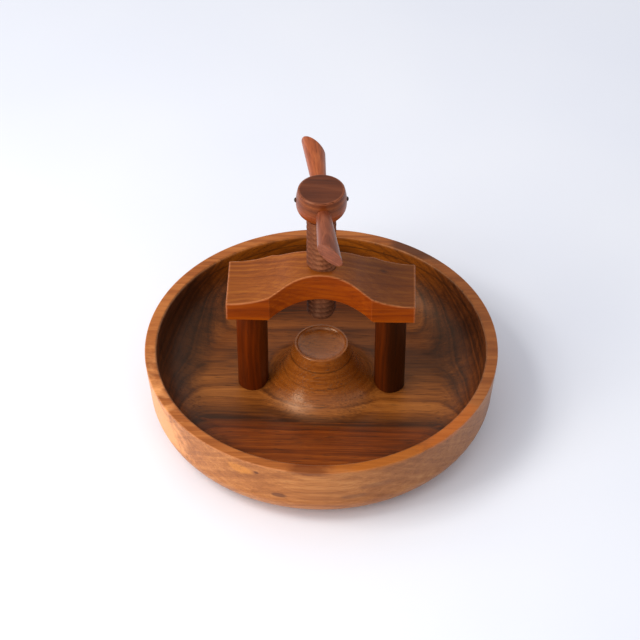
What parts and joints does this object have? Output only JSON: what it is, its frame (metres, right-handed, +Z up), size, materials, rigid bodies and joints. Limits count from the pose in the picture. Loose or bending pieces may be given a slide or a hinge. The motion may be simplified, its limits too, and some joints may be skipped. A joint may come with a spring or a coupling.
{
  "type": "nutcracker",
  "caption": "Turned wooden nut bowl with a screw nutcracker in its middle: a flared pedestal holds the nut and a wooden screw in an arched bridge presses on it.",
  "frame": {"origin": "centre of the bowl's foot, in the plane that the foot stands on", "axes": "+Z up along the screw's axis, +X along the bridge from the left post to the right post, -Y to the front"},
  "size_m": [0.24, 0.24, 0.1885],
  "materials": {
    "bowl_wood": "oiled, satin, dark streaks along the grain",
    "bridge_wood": "oiled, satin, warm orange brown",
    "post_wood": "stained dark red brown, satin",
    "screw_wood": "dry, slightly fuzzy cut thread, dark brown",
    "handle_wood": "oiled, satin, pinkish brown",
    "pin_wood": "dark, domed ends",
    "steel": "zinc plated"
  },
  "bodies": {
    "frame": {"bowl": "bowl_wood", "bridge": "bridge_wood", "left_post": "post_wood", "right_post": "post_wood", "left_post_screw": "steel", "right_post_screw": "steel"},
    "feed": {"screw_tip": "screw_wood"},
    "spindle": {"press_screw": "screw_wood", "knob": "handle_wood", "front_arm": "handle_wood", "rear_arm": "handle_wood", "cross_pin": "pin_wood"}
  },
  "joints": [
    {"name": "screw_feed", "type": "slide", "parent": "frame", "child": "feed", "axis": [0, 0, 1], "range_m": [-0.0318, 0.01695]},
    {"name": "screw_turn", "type": "hinge", "parent": "feed", "child": "spindle", "pos_m": [0, 0, 0.12], "axis": [0, 0, 1], "range_deg": [-2700, 1440]}
  ],
  "couplings": [
    {"joint": "screw_feed", "follows": "screw_turn", "m_per_rad": 0.00067376}
  ]
}
